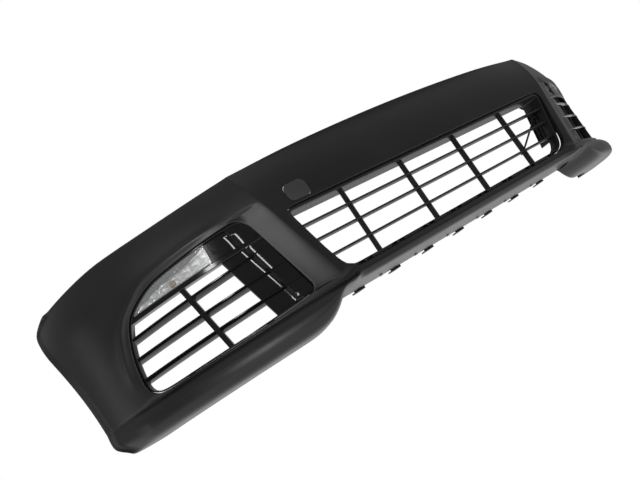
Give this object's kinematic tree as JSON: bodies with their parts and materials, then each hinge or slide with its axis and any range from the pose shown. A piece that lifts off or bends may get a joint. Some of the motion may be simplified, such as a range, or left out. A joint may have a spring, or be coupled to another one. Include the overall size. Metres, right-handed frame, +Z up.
{
  "type": "bumper cover",
  "caption": "Front bumper cover with side lips, a barred lower grille, side grilles with slim lamps, and a pull-off tow-eye cover.",
  "frame": {"origin": "middle of the footprint, at the sole that the part stands on", "axes": "+X to the car's left, the front faces -Y, +Z up"},
  "size_m": [1.7992, 0.4407, 0.388],
  "materials": {
    "skin_black": "satin black moulded plastic with a fine grain",
    "grille_black": "semi-matte black moulded plastic",
    "gloss_black": "gloss black moulded plastic",
    "lens_clear": "clear moulded lens",
    "reflector_silver": "aluminised facets",
    "housing_dark": "dark grey moulded plastic",
    "bulb_amber": "amber coated glass",
    "holder_grey": "grey moulded plastic",
    "seal_rubber": "black rubber",
    "cover_black": "satin black, a shade lighter than the skin",
    "screw_zinc": "dark zinc plated steel"
  },
  "bodies": {
    "root": {"bumper_skin": "skin_black", "centre_grille": "grille_black", "grille_stay": "grille_black", "lower_valance": "grille_black", "side_grille_left": "gloss_black", "lamp_lens_left": "lens_clear", "lamp_housing_left": "housing_dark", "lamp_reflector_left": "reflector_silver", "side_grille_right": "gloss_black", "lamp_lens_right": "lens_clear", "lamp_housing_right": "housing_dark", "lamp_reflector_right": "reflector_silver", "valance_screws": "screw_zinc", "lamp_screws": "screw_zinc"},
    "tow_cover": {"tow_eye_cover": "cover_black"},
    "bulb_unit_left": {"lamp_bulb_left": "bulb_amber", "bulb_holder_left": "holder_grey", "holder_seal_left": "seal_rubber"},
    "bulb_unit_right": {"lamp_bulb_right": "bulb_amber", "bulb_holder_right": "holder_grey", "holder_seal_right": "seal_rubber"}
  },
  "joints": [
    {"name": "tow_cover_pull", "type": "slide", "parent": "root", "child": "tow_cover", "axis": [0, -0.9964, 0.0851], "range_m": [0, 0.06]},
    {"name": "bulb_turn_left", "type": "hinge", "parent": "root", "child": "bulb_unit_left", "pos_m": [0.65911, -0.02062, 0.245], "axis": [0.5, -0.866, 0], "range_deg": [0, 45]},
    {"name": "bulb_turn_right", "type": "hinge", "parent": "root", "child": "bulb_unit_right", "pos_m": [-0.65911, -0.02062, 0.245], "axis": [0.5, 0.866, 0], "range_deg": [0, 45]}
  ]
}
